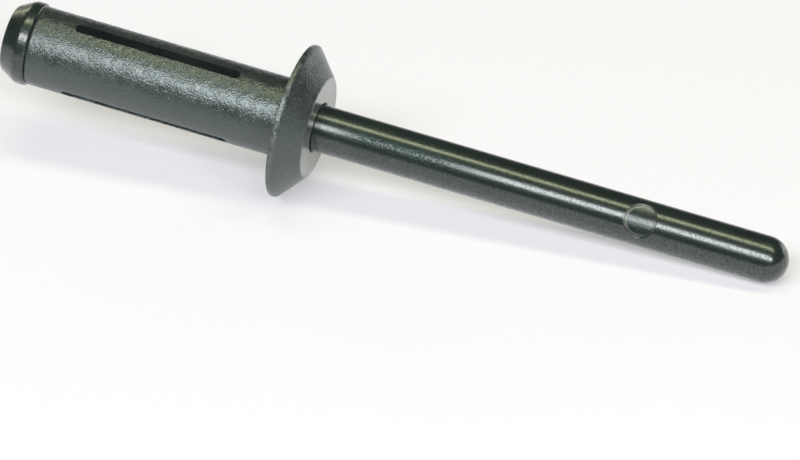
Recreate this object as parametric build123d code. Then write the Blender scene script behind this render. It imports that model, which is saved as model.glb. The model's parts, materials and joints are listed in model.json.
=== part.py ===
from build123d import *
from math import asin, atan2, degrees, hypot, isclose, radians, sin, tan
import os

# Plastic blind rivet: a slotted sleeve with a flange, and a pull stem through it.
# All sizes are in millimetres.

# --- Driving dimensions -----------------------------------------------------------------------

# Sleeve of the body: fits a 1/4 inch (6.35 mm) class hole in a panel
sleeve_diameter = 6.3
sleeve_length = 21.4            # flange's underside to the sleeve's free end
sleeve_end_bevel = 0.14         # broken outer edge of the free end

# Slots that let the sleeve fold out into legs
slot_count = 3
slot_length = 13.8
slot_width = 0.86
slot_to_flange = 4.5            # uncut sleeve left between the flange and the slots

# Flange: a short cylindrical land at the rim, then a cone down to a flat outer face
flange_diameter = 12.3
flange_height = 2.15
flange_land = 0.32
flange_edge_radius = 0.13
face_diameter = 8.1
face_edge_bevel = 0.08

# Mandrel: plug head, stem with a break neck, round tip
stem_diameter = 3.75
stem_clearance = 0.06           # radial gap between the stem and the bore
stem_reach = 38.75              # stem showing beyond the flange's outer face, with its tip
head_length = 2.2
head_diameter = 6.68
head_land = 0.86                # cylindrical part of the head, next to the sleeve
head_end_diameter = 5.2
head_end_radius = 0.3
head_rim_radius = 0.8
head_back_radius = 0.28
guide_length = 3.0              # full diameter under the head, guided by the bore
relief_diameter = 3.4           # thinner stem from there to the flange's outer face

# Break neck: it comes level with the flange's outer face when the sleeve has folded
setting_travel = 9.0
neck_diameter = 2.4
neck_width = 0.9

# Bore mouths
mouth_bevel = 0.16

# Witness mark of the ejector pin on the stem: a shallow round recess, its floor less curved
mark_diameter = 2.5
mark_depth = 0.26
mark_floor_radius = 2.4
mark_rim_radius = 0.1
mark_to_tip = 11.8
mark_angle = 39.5               # degrees round from the first slot

# How the rivet has rolled as it lies: degrees of the first slot from the top
lying_roll = 9.5

# --- Derived sizes ----------------------------------------------------------------------------
# Both pieces are drawn on the rivet's own axis: Z runs from the head to the tip of the stem,
# the flange's underside is at 0, and the first slot faces X.

sleeve_radius = sleeve_diameter / 2
flange_radius = flange_diameter / 2
face_radius = face_diameter / 2
stem_radius = stem_diameter / 2
bore_radius = stem_radius + stem_clearance
relief_radius = relief_diameter / 2

seat_z = -sleeve_length                     # sleeve's free end, where the head seats
head_z = seat_z - head_length
tip_z = flange_height + stem_reach
tip_centre_z = tip_z - stem_radius
neck_z = flange_height - setting_travel
mark_z = tip_z - mark_to_tip


def nearest_corner(face, r, z):
    """The corner of a section face in the XZ plane that is nearest to radius r and height z."""
    return face.vertices().sort_by_distance((r, 0, z))[0]


# --- Rivet body: one moulding -----------------------------------------------------------------

def make_rivet_body():
    outline = [
        (bore_radius, seat_z),
        (sleeve_radius, seat_z),
        (sleeve_radius, 0),
        (flange_radius, 0),
        (flange_radius, flange_land),
        (face_radius, flange_height),
        (bore_radius, flange_height),
    ]
    section = make_face(Plane.XZ * Polyline(*outline, close=True))
    section = chamfer(nearest_corner(section, sleeve_radius, seat_z), sleeve_end_bevel)
    section = chamfer(nearest_corner(section, face_radius, flange_height), face_edge_bevel)
    for mouth_z in (seat_z, flange_height):
        section = chamfer(nearest_corner(section, bore_radius, mouth_z), mouth_bevel)
    for land_edge_z in (0, flange_land):
        section = fillet(nearest_corner(section, flange_radius, land_edge_z), flange_edge_radius)
    body = revolve(section, Axis.Z)
    for slot in range(slot_count):
        body -= make_slot_cutter(slot * 360 / slot_count)
    return body


def make_slot_cutter(angle):
    """A round-ended slot through one side of the sleeve, at the given angle about the axis."""
    slot_middle = -slot_to_flange - slot_length / 2
    outward = Vector(1, 0, 0).rotate(Axis.Z, angle)
    wall = Plane(origin=(0, 0, slot_middle), x_dir=(0, 0, 1), z_dir=outward)
    return extrude(wall * SlotOverall(slot_length, slot_width), sleeve_diameter)


# --- Mandrel: one moulding --------------------------------------------------------------------

def make_mandrel():
    head_radius = head_diameter / 2
    relief_step = stem_radius - relief_radius
    outline = [
        (0, tip_z),
        (0, head_z),
        (head_end_diameter / 2, head_z),
        (head_radius, seat_z - head_land),
        (head_radius, seat_z),
        (stem_radius, seat_z),
        (stem_radius, seat_z + guide_length),
        (relief_radius, seat_z + guide_length + relief_step),
        (relief_radius, neck_z - neck_width / 2),
        (neck_diameter / 2, neck_z),
        (relief_radius, neck_z + neck_width / 2),
        (relief_radius, flange_height - relief_step),
        (stem_radius, flange_height),
        (stem_radius, tip_centre_z),
    ]
    sides = Polyline(*outline)
    tip = CenterArc((0, tip_centre_z), stem_radius, 0, 90)
    section = make_face(Plane.XZ * (sides + tip))
    head_corners = [
        (head_end_diameter / 2, head_z, head_end_radius),
        (head_radius, seat_z - head_land, head_rim_radius),
        (head_radius, seat_z, head_back_radius),
    ]
    for r, z, radius in head_corners:
        section = fillet(nearest_corner(section, r, z), radius)
    marked = revolve(section, Axis.Z) - make_mark_cutter()
    mark_radius = mark_diameter / 2
    mark_edges = marked.edges().filter_by_position(Axis.Z, mark_z - mark_radius, mark_z + mark_radius)
    return fillet(mark_edges.filter_by(is_on_stem_surface), mark_rim_radius)


def is_on_stem_surface(edge):
    middle = edge @ 0.5
    return isclose(hypot(middle.X, middle.Y), stem_radius, abs_tol=0.001)


def make_mark_cutter():
    """The pin's end: round, with a face that is curved across the stem but less than the stem."""
    outward = Vector(1, 0, 0).rotate(Axis.Z, mark_angle)
    across = Plane(origin=(0, 0, mark_z), x_dir=(0, 0, 1), z_dir=outward)
    pin = extrude(across * Circle(mark_diameter / 2), stem_diameter)
    floor_centre = outward * (stem_radius - mark_depth - mark_floor_radius) + Vector(0, 0, mark_z)
    left_standing = Pos(floor_centre) * Cylinder(mark_floor_radius, 2 * mark_diameter)
    return pin - left_standing


# --- Rest: the rivet lies on the flange's rim and the tip of the stem ---------------------------

def lying_tilt():
    """Degrees by which the axis dips towards the tip, with both roundings on the floor."""
    rim_slope = atan2(flange_radius - face_radius, flange_height - flange_land)
    rim_centre_z = flange_land - flange_edge_radius * tan(rim_slope / 2)
    rim_centre_r = flange_radius - flange_edge_radius
    along = tip_centre_z - rim_centre_z
    between = hypot(along, rim_centre_r)
    return degrees(atan2(rim_centre_r, along) - asin((stem_radius - flange_edge_radius) / between))


def lying_place():
    """The frame of the rivet's axis: X points up from the axis, Z along it to the tip."""
    tilt = lying_tilt()
    upward = Vector(0, 0, 1).rotate(Axis.Y, tilt)
    towards_tip = Vector(1, 0, 0).rotate(Axis.Y, tilt)
    floor_to_origin = stem_radius + tip_centre_z * sin(radians(tilt))
    axis_frame = Plane(origin=(0, 0, floor_to_origin), x_dir=upward, z_dir=towards_tip)
    return axis_frame.location * Rot(0, 0, lying_roll)


place = lying_place()
pieces = {
    "rivet_body": place * make_rivet_body(),
    "mandrel": place * make_mandrel(),
}
length_middle = Compound(list(pieces.values())).bounding_box().center().X

os.makedirs("parts", exist_ok=True)
for name, piece in pieces.items():
    export_step(Pos(-length_middle, 0, 0) * piece, f"parts/{name}.step")

print(f"the axis dips {lying_tilt():.3f} degrees towards the tip")
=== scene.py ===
import json
import math

import bmesh
import bpy
from mathutils import Matrix, Vector

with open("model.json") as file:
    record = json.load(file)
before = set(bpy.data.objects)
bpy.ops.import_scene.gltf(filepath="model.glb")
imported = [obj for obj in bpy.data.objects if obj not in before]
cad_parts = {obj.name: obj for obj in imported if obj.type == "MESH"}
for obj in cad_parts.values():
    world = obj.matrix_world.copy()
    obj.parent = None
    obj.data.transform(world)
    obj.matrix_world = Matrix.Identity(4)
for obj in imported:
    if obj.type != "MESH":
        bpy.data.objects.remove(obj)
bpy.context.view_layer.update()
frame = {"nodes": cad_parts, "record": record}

# --- Rivet body ---------------------------------------------------------------------------------
# The slotted sleeve and its flange are one injection moulding in black nylon. The mould is
# spark-eroded, which leaves a fine matte grain that glitters a little; only the flange's outer
# face is shut off against a ground insert, and comes out smoother and glossier.

MM = 0.001
NUMBER = "NodeSocketFloat"
VECTOR = "NodeSocketVector"


def pin_mount(name):
    """A pin mount of the frame: its middle in metres, its radius and its length in millimetres."""
    mount = next(mount for mount in frame["record"]["mounts"] if mount["name"] == name)
    return Vector(mount["pos_m"]), mount["dims"]["r_mm"], mount["dims"]["length_mm"]


shank_middle, sleeve_radius, shank_length = pin_mount("shank")
stem_middle, stem_radius, stem_length = pin_mount("stem")
to_tip = (stem_middle - shank_middle).normalized()
axis_dip = math.asin(-to_tip.z)
seat = shank_middle + to_tip * shank_length / 2 * MM    # centre of the flange's underside

# Sizes are in millimetres, and places along the axis are measured from the flange's underside.
sleeve_end_bevel = 0.14
sleeve_end = -(shank_length + sleeve_end_bevel)
flange_radius = 6.15
flange_land = 0.32
face_radius = 4.05
face_along = (stem_middle - seat).length / MM - stem_length / 2


def feed(tree, socket, value):
    """Links another node's output to a socket, or sets the socket to a plain value."""
    if isinstance(value, bpy.types.NodeSocket):
        tree.links.new(value, socket)
    else:
        socket.default_value = value


def math_node(tree, operation, a, b=None, clamp=False):
    """A Math node of numbers or outputs; returns its output."""
    node = tree.nodes.new("ShaderNodeMath")
    node.operation = operation
    node.use_clamp = clamp
    feed(tree, node.inputs[0], a)
    if b is not None:
        feed(tree, node.inputs[1], b)
    return node.outputs[0]


def remap(tree, value, spread, onto=(0.0, 1.0), smooth=True):
    """A Map Range node from one pair of numbers onto another, eased if smooth; returns its output."""
    node = tree.nodes.new("ShaderNodeMapRange")
    node.interpolation_type = "SMOOTHSTEP" if smooth else "LINEAR"
    tree.links.new(value, node.inputs["Value"])
    node.inputs["From Min"].default_value, node.inputs["From Max"].default_value = spread
    node.inputs["To Min"].default_value, node.inputs["To Max"].default_value = onto
    return node.outputs["Result"]


def noise(tree, vector, scale, detail, roughness):
    """A Noise Texture node with so many blobs to a unit of its vector; returns its output."""
    node = tree.nodes.new("ShaderNodeTexNoise")
    feed(tree, node.inputs["Vector"], vector)
    feed(tree, node.inputs["Scale"], scale)
    feed(tree, node.inputs["Detail"], detail)
    feed(tree, node.inputs["Roughness"], roughness)
    return node.outputs["Fac"]


def mix_colours(tree, share, first, second):
    """A Mix node of two colours or outputs; returns its output."""
    node = tree.nodes.new("ShaderNodeMix")
    node.data_type = "RGBA"
    feed(tree, node.inputs["Factor"], share)
    colour_inputs = [socket for socket in node.inputs if socket.type == "RGBA"]
    for socket, colour in zip(colour_inputs, (first, second)):
        feed(tree, socket, colour)
    return next(socket for socket in node.outputs if socket.type == "RGBA")


def bump(tree, height, depth, under=None):
    """A Bump node of a real depth in millimetres, over another bump if given; returns its normal."""
    node = tree.nodes.new("ShaderNodeBump")
    node.inputs["Distance"].default_value = depth * MM
    feed(tree, node.inputs["Height"], height)
    if under is not None:
        feed(tree, node.inputs["Normal"], under)
    return node.outputs["Normal"]


def new_group(name, inputs, outputs):
    """An empty node group with sockets of {name: type}; returns it, what comes in and what goes out."""
    group = bpy.data.node_groups.new(name, "ShaderNodeTree")
    for in_out, sockets in (("INPUT", inputs), ("OUTPUT", outputs)):
        for socket, kind in sockets.items():
            group.interface.new_socket(socket, in_out=in_out, socket_type=kind)
    return group, group.nodes.new("NodeGroupInput").outputs, group.nodes.new("NodeGroupOutput").inputs


def place_group(tree, group, inputs):
    """A node group put in a tree and fed with {socket: value}; returns its outputs."""
    node = tree.nodes.new("ShaderNodeGroup")
    node.node_tree = group
    for name, value in inputs.items():
        feed(tree, node.inputs[name], value)
    return node.outputs


# The rivet's own coordinates in millimetres: the point, its place along the axis and its radius.
rivet_coordinates, given, result = new_group(
    "Rivet coordinates",
    {"Position": VECTOR},
    {"Point": VECTOR, "Along": NUMBER, "Radius": NUMBER},
)
onto_axis = rivet_coordinates.nodes.new("ShaderNodeMapping")
onto_axis.vector_type = "TEXTURE"
onto_axis.inputs["Location"].default_value = seat
onto_axis.inputs["Rotation"].default_value = (0, axis_dip, 0)
onto_axis.inputs["Scale"].default_value = (MM, MM, MM)
feed(rivet_coordinates, onto_axis.inputs["Vector"], given["Position"])
axes = rivet_coordinates.nodes.new("ShaderNodeSeparateXYZ")
feed(rivet_coordinates, axes.inputs["Vector"], onto_axis.outputs["Vector"])
radius_squared = math_node(
    rivet_coordinates,
    "ADD",
    math_node(rivet_coordinates, "MULTIPLY", axes.outputs["Y"], axes.outputs["Y"]),
    math_node(rivet_coordinates, "MULTIPLY", axes.outputs["Z"], axes.outputs["Z"]),
)
feed(rivet_coordinates, result["Point"], onto_axis.outputs["Vector"])
feed(rivet_coordinates, result["Along"], axes.outputs["X"])
feed(rivet_coordinates, result["Radius"], math_node(rivet_coordinates, "SQRT", radius_squared))

# Spark-eroded grain: the height of its pits, a mottle over them, and broader patches.
cell_to_pit_scale = 0.8
pit_share = 0.7
cell_share = 0.3
mottle_size = 0.6
patch_size = 3.5
mottle_spread = (0.25, 0.75)    # most of the mottle lies between these values
patch_spread = (0.3, 0.7)       # and most of the patches between these

spark_grain, given, result = new_group(
    "Spark-eroded grain",
    {"Point": VECTOR, "Pit Size": NUMBER},
    {"Height": NUMBER, "Mottle": NUMBER, "Patches": NUMBER},
)
pit_scale = math_node(spark_grain, "DIVIDE", 1.0, given["Pit Size"])
pits = noise(spark_grain, given["Point"], pit_scale, detail=1.0, roughness=0.4)
cells = spark_grain.nodes.new("ShaderNodeTexVoronoi")
feed(spark_grain, cells.inputs["Vector"], given["Point"])
feed(spark_grain, cells.inputs["Scale"], math_node(spark_grain, "MULTIPLY", pit_scale, cell_to_pit_scale))
height = math_node(
    spark_grain,
    "ADD",
    math_node(spark_grain, "MULTIPLY", pits, pit_share),
    math_node(spark_grain, "MULTIPLY", cells.outputs["Distance"], cell_share),
)
mottle = noise(spark_grain, given["Point"], 1 / mottle_size, detail=3.0, roughness=0.6)
patches = noise(spark_grain, given["Point"], 1 / patch_size, detail=2.0, roughness=0.5)
feed(spark_grain, result["Height"], height)
feed(spark_grain, result["Mottle"], mottle)
feed(spark_grain, result["Patches"], patches)

# Rim wear and painted highlight: a broken mask round one turned edge, which lies at a radius and a place
# along the axis.
wear_and_highlight_break = (0.35, 0.65)

rim_wear_and_highlight, given, result = new_group(
    "Rim wear and painted highlight",
    {
        "Along": NUMBER,
        "Radius": NUMBER,
        "Rim Along": NUMBER,
        "Rim Radius": NUMBER,
        "Width": NUMBER,
        "Breakup": NUMBER,
    },
    {"Mask": NUMBER},
)
off_along = math_node(rim_wear_and_highlight, "SUBTRACT", given["Along"], given["Rim Along"])
off_out = math_node(rim_wear_and_highlight, "SUBTRACT", given["Radius"], given["Rim Radius"])
off_rim_squared = math_node(
    rim_wear_and_highlight,
    "ADD",
    math_node(rim_wear_and_highlight, "MULTIPLY", off_along, off_along),
    math_node(rim_wear_and_highlight, "MULTIPLY", off_out, off_out),
)
off_rim = math_node(rim_wear_and_highlight, "DIVIDE", math_node(rim_wear_and_highlight, "SQRT", off_rim_squared), given["Width"])
near_rim = math_node(rim_wear_and_highlight, "SUBTRACT", 1.0, off_rim, clamp=True)
broken = remap(rim_wear_and_highlight, given["Breakup"], wear_and_highlight_break)
feed(rim_wear_and_highlight, result["Mask"], math_node(rim_wear_and_highlight, "MULTIPLY", near_rim, broken))


def new_material(name):
    """A material with the rivet's coordinates; returns it, its tree, its shader and where a point is."""
    material = bpy.data.materials.new(name)
    material.use_nodes = True
    tree = material.node_tree
    position = tree.nodes.new("ShaderNodeTexCoord")
    at = place_group(tree, rivet_coordinates, {"Position": position.outputs["Object"]})
    return material, tree, tree.nodes["Principled BSDF"], at


def set_constants(shader, values):
    """Sets what is the same all over a surface on the shader's own sockets."""
    for name, value in values.items():
        shader.inputs[name].default_value = value


def finish_node(name, material):
    """Gives a CAD node its material."""
    for slot in frame["nodes"][name].material_slots:
        slot.material = material


grain_size = 0.125
body_black, tree, shader, at = new_material("grained_black_nylon")
grain = place_group(tree, spark_grain, {"Point": at["Point"], "Pit Size": grain_size})

# The ground face is what lies in the flange's outer plane, inside its edge.
face_plane = (face_along - 0.06, face_along - 0.02)
face_inside = (face_radius + 0.05, face_radius - 0.05)
in_plane = remap(tree, at["Along"], face_plane)
on_face = math_node(tree, "MULTIPLY", in_plane, remap(tree, at["Radius"], face_inside))

# Rims that rub against others in the bag, where the lighter grey is partly wear and partly a painted
# highlight: each has a place, a radius and a width of the grey.
worn_and_highlit_rims = (
    (flange_land, flange_radius, 0.3),
    (0.0, flange_radius, 0.3),
    (face_along, face_radius, 0.16),
    (sleeve_end, sleeve_radius, 0.2),
)
wear_and_highlight_masks = [
    place_group(
        tree,
        rim_wear_and_highlight,
        {
            "Along": at["Along"],
            "Radius": at["Radius"],
            "Rim Along": rim_along,
            "Rim Radius": rim_radius,
            "Width": width,
            "Breakup": grain["Mottle"],
        },
    )["Mask"]
    for rim_along, rim_radius, width in worn_and_highlit_rims
]
wear_and_highlight = wear_and_highlight_masks[0]
for mask in wear_and_highlight_masks[1:]:
    wear_and_highlight = math_node(tree, "MAXIMUM", wear_and_highlight, mask)

# Colour: a black that varies a little, lighter on the highest grain, and grey along the rims, partly wear
# and partly painted highlight.
deep_black = (0.011, 0.018, 0.016, 1)
light_black = (0.018, 0.025, 0.023, 1)
grain_grey = (0.04, 0.045, 0.042, 1)
worn_and_highlight_grey = (0.085, 0.09, 0.086, 1)
grain_tops = (0.55, 0.75)
black = mix_colours(tree, remap(tree, grain["Patches"], patch_spread), deep_black, light_black)
speckled = mix_colours(tree, remap(tree, grain["Height"], grain_tops), black, grain_grey)
# grey on the rims: partly worn, partly a painted highlight
feed(tree, shader.inputs["Base Color"], mix_colours(tree, wear_and_highlight, speckled, worn_and_highlight_grey))

# Gloss: matte, uneven, and smoother on the ground face, which has a shine of its own.
grain_roughness = (0.3, 0.38)
patch_roughness = (-0.03, 0.05)
face_roughness = -0.1
face_shine = 0.8
uneven = math_node(
    tree,
    "ADD",
    remap(tree, grain["Mottle"], mottle_spread, grain_roughness, smooth=False),
    remap(tree, grain["Patches"], patch_spread, patch_roughness, smooth=False),
)
smoother = math_node(tree, "MULTIPLY", on_face, face_roughness)
feed(tree, shader.inputs["Roughness"], math_node(tree, "ADD", uneven, smoother))
feed(tree, shader.inputs["Coat Weight"], math_node(tree, "MULTIPLY", on_face, face_shine))

# Relief: the flange's rim is eased round. The grain is deeper in some patches than in others, and
# nearly gone on the ground face.
rim_ease_width = 0.35
rim_ease_depth = 0.09
grain_depth = 0.046
grain_spread = (0.3, 0.7)
grain_shares = (0.5, 1.4)
face_grain_share = 0.08
from_rim = math_node(tree, "SUBTRACT", flange_radius, at["Radius"])
from_rim = math_node(tree, "DIVIDE", from_rim, rim_ease_width)
near_rim = math_node(tree, "SUBTRACT", 1.0, from_rim, clamp=True)
fallen = math_node(tree, "MULTIPLY", near_rim, near_rim)
eased = bump(tree, math_node(tree, "SUBTRACT", 1.0, fallen), rim_ease_depth)
left = remap(tree, on_face, (0.0, 1.0), (1.0, face_grain_share))
left = math_node(tree, "MULTIPLY", left, remap(tree, grain["Mottle"], grain_spread, grain_shares))
relief = math_node(tree, "MULTIPLY", grain["Height"], left)
feed(tree, shader.inputs["Normal"], bump(tree, relief, grain_depth, under=eased))

set_constants(shader, {
    "IOR": 1.65,
    "Specular IOR Level": 0.9,
    "Specular Tint": (0.87, 1.0, 0.99, 1),
    "Coat IOR": 1.6,
    "Coat Roughness": 0.12,
    "Sheen Weight": 0.25,
    "Sheen Roughness": 0.3,
})
finish_node("rivet_body", body_black)

# --- Mandrel ------------------------------------------------------------------------------------
# The plug head, the stem and its rounded tip are one moulding in glossy black nylon, pushed through
# the sleeve until the head seats on its end. The polished mould leaves faint lines along the stem,
# and its ejector pin leaves the shallow round mark near the tip.

mark_to_tip = 11.8
mark_radius = 1.25
mark_angle = math.radians(49)   # round from the top of the stem to its front
mark_along = face_along + stem_length + stem_radius - mark_to_tip


def vector_node(tree, operation, *values):
    """A Vector Math node of vectors or outputs; returns its number if it gives one, or its vector."""
    node = tree.nodes.new("ShaderNodeVectorMath")
    node.operation = operation
    for socket, value in zip(node.inputs, values):
        feed(tree, socket, value)
    return node.outputs["Value" if operation in ("DOT_PRODUCT", "LENGTH") else "Vector"]


pit_size = 0.17
stem_black, tree, shader, at = new_material("glossy_black_nylon")
grain = place_group(tree, spark_grain, {"Point": at["Point"], "Pit Size": pit_size})

# The mark: its floor lies inside its edge and below the stem's surface, on one side of the stem.
outwards = (0, -math.sin(mark_angle), math.cos(mark_angle))
sideways = (0, -math.cos(mark_angle), -math.sin(mark_angle))
inside_edge = (mark_radius + 0.012, mark_radius - 0.038)
below_surface = (stem_radius - 0.03, stem_radius - 0.09)
near_side = (0.0, 0.5)
from_mark = vector_node(tree, "SUBTRACT", at["Point"], (mark_along, 0, 0))
distance = vector_node(tree, "LENGTH", from_mark)
out_from_axis = vector_node(tree, "DOT_PRODUCT", from_mark, outwards)
off_centre_squared = math_node(
    tree,
    "SUBTRACT",
    math_node(tree, "MULTIPLY", distance, distance),
    math_node(tree, "MULTIPLY", out_from_axis, out_from_axis),
)
off_centre = math_node(tree, "SQRT", off_centre_squared)
on_near_side = remap(tree, out_from_axis, near_side)
in_mark = math_node(
    tree,
    "MULTIPLY",
    remap(tree, off_centre, inside_edge),
    remap(tree, at["Radius"], below_surface),
)
in_mark = math_node(tree, "MULTIPLY", in_mark, on_near_side)

# The ring round the mark is painted lighter grey, a painted highlight and reflection on its edge, most
# towards the flange and the top of the stem.
ring_radius = 1.21
ring_reach = (0.16, 0.05)
share_along = 0.8
share_across = 0.6
shade_side_direction = (share_along, share_across * sideways[1], share_across * sideways[2])
shade_side_spread = (-0.9, 0.7)
shade_side_shares = (1.0, 0.1)
highlight_breakup_spread = (0.38, 0.55)
highlight_breakup_shares = (0.35, 1.0)
off_ring = math_node(tree, "ABSOLUTE", math_node(tree, "SUBTRACT", off_centre, ring_radius))
on_ring = math_node(tree, "MULTIPLY", remap(tree, off_ring, ring_reach), on_near_side)
shade_side = vector_node(tree, "DOT_PRODUCT", from_mark, shade_side_direction)
# painted highlight: lighter grey on the ring, fading on its shaded side
ring_highlight = math_node(tree, "MULTIPLY", on_ring, remap(tree, shade_side, shade_side_spread, shade_side_shares))
ring_highlight = math_node(tree, "MULTIPLY", ring_highlight, remap(tree, grain["Mottle"], highlight_breakup_spread, highlight_breakup_shares))

# The stem is scuffed from the flange to about its middle, on the same side as the mark.
scuff_start = (1.8, 6.8)
scuff_end = (20.0, 11.0)
scuff_side = (0.91, 0.985)      # cosines of the angle round from the middle of that side
scuff_length = math_node(
    tree,
    "MULTIPLY",
    remap(tree, at["Along"], scuff_start),
    remap(tree, at["Along"], scuff_end),
)
side_cosine = math_node(tree, "DIVIDE", out_from_axis, at["Radius"])
scuffed = math_node(tree, "MULTIPLY", scuff_length, remap(tree, side_cosine, scuff_side))

# The head is what lies past the sleeve's end.
past_sleeve = (sleeve_end + 0.2, sleeve_end)
on_head = remap(tree, at["Along"], past_sleeve)

# Colour: a black that varies a little, with some dust on it, and a painted highlight in grey round the
# mark's ring.
deep_black = (0.008, 0.015, 0.012, 1)
light_black = (0.012, 0.02, 0.017, 1)
dust_grey = (0.03, 0.034, 0.032, 1)
ring_highlight_grey = (0.17, 0.175, 0.15, 1)
dust_spread = (0.6, 0.8)
black = mix_colours(tree, remap(tree, grain["Patches"], patch_spread), deep_black, light_black)
dusty = mix_colours(tree, remap(tree, grain["Mottle"], dust_spread), black, dust_grey)
feed(tree, shader.inputs["Base Color"], mix_colours(tree, ring_highlight, dusty, ring_highlight_grey))

# Gloss: the scuffs and the head are rougher. The shine is lost on the scuffs, except in specks,
# half lost on the mark's floor, and partly lost in fine flecks all over.
stem_roughness = (0.2, 0.28)
added_roughness = 0.1
mark_dullness = 0.5
speck_spread = (0.48, 0.6)
speck_dullness = (1.0, 0.64)
fleck_spread = (0.4, 0.55)
fleck_dullness = (0.42, 0.0)
plain = remap(tree, grain["Mottle"], mottle_spread, stem_roughness, smooth=False)
rougher = math_node(tree, "MULTIPLY", math_node(tree, "MAXIMUM", scuffed, on_head), added_roughness)
feed(tree, shader.inputs["Roughness"], math_node(tree, "ADD", plain, rougher))
dull = math_node(tree, "MAXIMUM", scuffed, math_node(tree, "MULTIPLY", in_mark, mark_dullness))
dull = math_node(tree, "MULTIPLY", dull, remap(tree, grain["Height"], speck_spread, speck_dullness))
dull = math_node(tree, "MAXIMUM", dull, remap(tree, grain["Height"], fleck_spread, fleck_dullness))
feed(tree, shader.inputs["Coat Weight"], math_node(tree, "SUBTRACT", 1.0, dull))

# Relief: the mark's floor leans a little, its ring stands up by a hair, faint lines run along the
# stem, and fine pits lie over all of it, deepest on the head and on the scuffs.
floor_lean_depth = 0.08
ring_height = 0.06
line_width = 0.12
line_stretch = 14
line_depth = 0.008
pit_depth = 0.055
pit_shares = (0.4, 0.8)         # on the plain stem and on the scuffs
across_floor = vector_node(tree, "DOT_PRODUCT", from_mark, sideways)
leaned = bump(tree, math_node(tree, "MULTIPLY", across_floor, in_mark), floor_lean_depth)
ringed = bump(tree, on_ring, ring_height, under=leaned)
stretched = tree.nodes.new("ShaderNodeMapping")
stretched.inputs["Scale"].default_value = (1 / line_stretch, 1, 1)
feed(tree, stretched.inputs["Vector"], at["Point"])
lines = noise(tree, stretched.outputs["Vector"], 1 / line_width, detail=2.0, roughness=0.5)
lined = bump(tree, lines, line_depth, under=ringed)
pitted = math_node(tree, "MAXIMUM", remap(tree, scuffed, (0.0, 1.0), pit_shares, smooth=False), on_head)
relief = math_node(tree, "MULTIPLY", grain["Height"], pitted)
feed(tree, shader.inputs["Normal"], bump(tree, relief, pit_depth, under=lined))

set_constants(shader, {
    "IOR": 1.5,
    "Specular IOR Level": 0.3,
    "Specular Tint": (0.74, 1.0, 0.97, 1),
    "Coat IOR": 1.75,
    "Coat Roughness": 0.22,
    "Sheen Weight": 0.12,
    "Sheen Roughness": 0.3,
})
finish_node("mandrel", stem_black)

# --- Card ---------------------------------------------------------------------------------------
# The rivet lies on a large sheet of plain white card with a faint fibre. The card has some light of
# its own, for the eye and in reflections, so that it shows white at a plain level of light and keeps
# its shadows. Far away its colour and its own light fade to grey: painted shade, standing in for lamp
# light that falls off away from the rivet. All its sizes are in metres.

card_half_width = 0.6
card_squares = 24
fibres_per_metre = 900
card_whites = ((0.508, 0.504, 0.546, 1), (0.522, 0.518, 0.556, 1))
painted_falloff_grey = (0.3, 0.3, 0.3, 1)
painted_falloff_distances = (0.06, 0.28)
own_light = (0.37, 0.15)        # near the rivet and far away

sheet = bmesh.new()
bmesh.ops.create_grid(sheet, x_segments=card_squares, y_segments=card_squares, size=card_half_width)
card_mesh = bpy.data.meshes.new("card")
sheet.to_mesh(card_mesh)
sheet.free()
card = bpy.data.objects.new("card", card_mesh)
bpy.context.collection.objects.link(card)

white_card = bpy.data.materials.new("white_card")
white_card.use_nodes = True
tree = white_card.node_tree
shader = tree.nodes["Principled BSDF"]
place = tree.nodes.new("ShaderNodeTexCoord").outputs["Object"]
fibres = noise(tree, place, fibres_per_metre, detail=3.0, roughness=0.5)
# painted shade: the card's colour and its own light fall off away from the rivet
painted_falloff = remap(tree, vector_node(tree, "LENGTH", place), painted_falloff_distances)
near_colour = mix_colours(tree, fibres, *card_whites)
feed(tree, shader.inputs["Base Color"], mix_colours(tree, painted_falloff, near_colour, painted_falloff_grey))
ray = tree.nodes.new("ShaderNodeLightPath").outputs
seen = math_node(tree, "ADD", ray["Is Camera Ray"], ray["Is Glossy Ray"])
seen = math_node(tree, "ADD", seen, ray["Is Transmission Ray"], clamp=True)
glow = math_node(tree, "MULTIPLY", seen, remap(tree, painted_falloff, (0.0, 1.0), own_light, smooth=False))
feed(tree, shader.inputs["Emission Strength"], glow)
set_constants(shader, {
    "Emission Color": (1, 1, 1, 1),
    "Roughness": 0.9,
    "Specular IOR Level": 0.0,
})
card_mesh.materials.append(white_card)

# --- Lamps --------------------------------------------------------------------------------------
# Five soft lamps in a dim room face the rivet's axis. A long softbox in front and a narrow warm
# strip overhead draw the two bright lines along the stem, a small softbox past the tip lights the
# flange's outer face, and two weak panels lighten the back. Their sizes are in metres.

lamp_distance = 0.5
white = (1.0, 1.0, 1.0)
cool_white = (0.98, 0.99, 1.0)
warm_yellow = (1.0, 1.0, 0.66)
olive = (1.0, 1.0, 0.68)
room_light = (0.96, 0.98, 1.0, 1)
frontwards = Vector((0, -1, 0))
upwards = frontwards.cross(to_tip)


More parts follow.
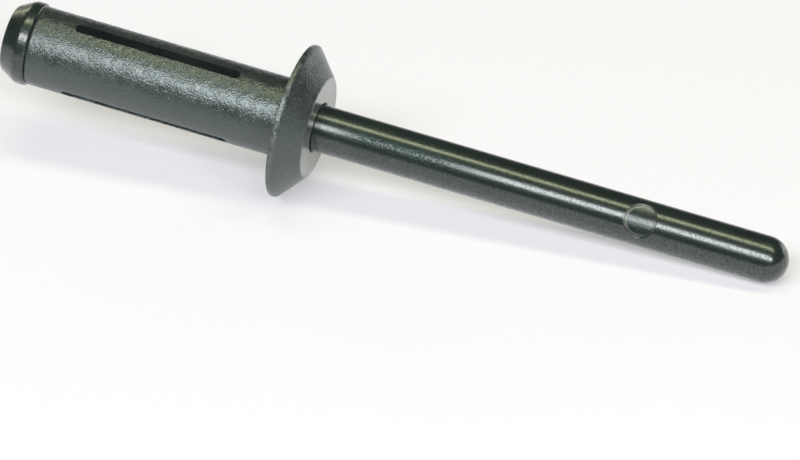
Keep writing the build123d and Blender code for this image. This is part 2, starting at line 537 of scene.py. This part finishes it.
def hang_lamp(name, lean, along, length, width, radiance, colour):
    """Hangs a lamp this many degrees from upright to the front, and this far along to the tip."""
    lamp = bpy.data.lights.new(name, "AREA")
    lamp.shape = "RECTANGLE"
    lamp.size = length
    lamp.size_y = width
    lamp.color = colour
    lamp.energy = radiance * math.pi * length * width
    lamp_object = bpy.data.objects.new(name, lamp)
    bpy.context.collection.objects.link(lamp_object)
    side = upwards * math.cos(math.radians(lean)) + frontwards * math.sin(math.radians(lean))
    lamp_object.location = seat + side * lamp_distance + to_tip * along
    lamp_object.rotation_mode = "QUATERNION"
    turned = Matrix((to_tip, side.cross(to_tip), side)).transposed()
    lamp_object.rotation_quaternion = turned.to_quaternion()
    lamp_object.visible_camera = False


hang_lamp("front_softbox", lean=44.5, along=-0.04, length=0.6, width=0.17, radiance=8.6, colour=cool_white)
hang_lamp("top_strip", lean=-4, along=0.04, length=0.62, width=0.11, radiance=4.8, colour=warm_yellow)
hang_lamp("end_softbox", lean=45, along=0.39, length=0.11, width=0.14, radiance=24, colour=white)
hang_lamp("back_panel", lean=-81, along=0.4, length=0.4, width=0.14, radiance=2, colour=white)
hang_lamp("olive_panel", lean=-67, along=-0.5, length=0.35, width=0.22, radiance=2.4, colour=olive)

world = bpy.data.worlds.new("dim_room")
bpy.context.scene.world = world
world.use_nodes = True
set_constants(world.node_tree.nodes["Background"], {"Color": room_light, "Strength": 0.06})

# --- Camera -------------------------------------------------------------------------------------
# A long lens looks down at the rivet from the front, turned a little towards its tip. The aim is
# given in millimetres from the flange's underside, and leaves room below the rivet.

azimuth = math.radians(19.53)
elevation = math.radians(34.18)
camera_distance = 0.9
aim_along = 8.5
aim_right = 0.394
aim_below = 6.21

back = Vector((
    math.sin(azimuth) * math.cos(elevation),
    -math.cos(azimuth) * math.cos(elevation),
    math.sin(elevation),
))
right = Vector((math.cos(azimuth), math.sin(azimuth), 0))
above = back.cross(right)
aim = seat + (to_tip * aim_along + right * aim_right - above * aim_below) * MM
camera = bpy.data.cameras.new("camera")
camera.lens = 520.5
camera.sensor_width = 36
camera.clip_start = 0.01
camera.clip_end = 20
camera_object = bpy.data.objects.new("camera", camera)
bpy.context.collection.objects.link(camera_object)
camera_object.location = aim + back * camera_distance
camera_object.rotation_mode = "QUATERNION"
camera_object.rotation_quaternion = (-back).to_track_quat("-Z", "Y")
bpy.context.scene.camera = camera_object
bpy.context.scene.view_settings.view_transform = "Standard"
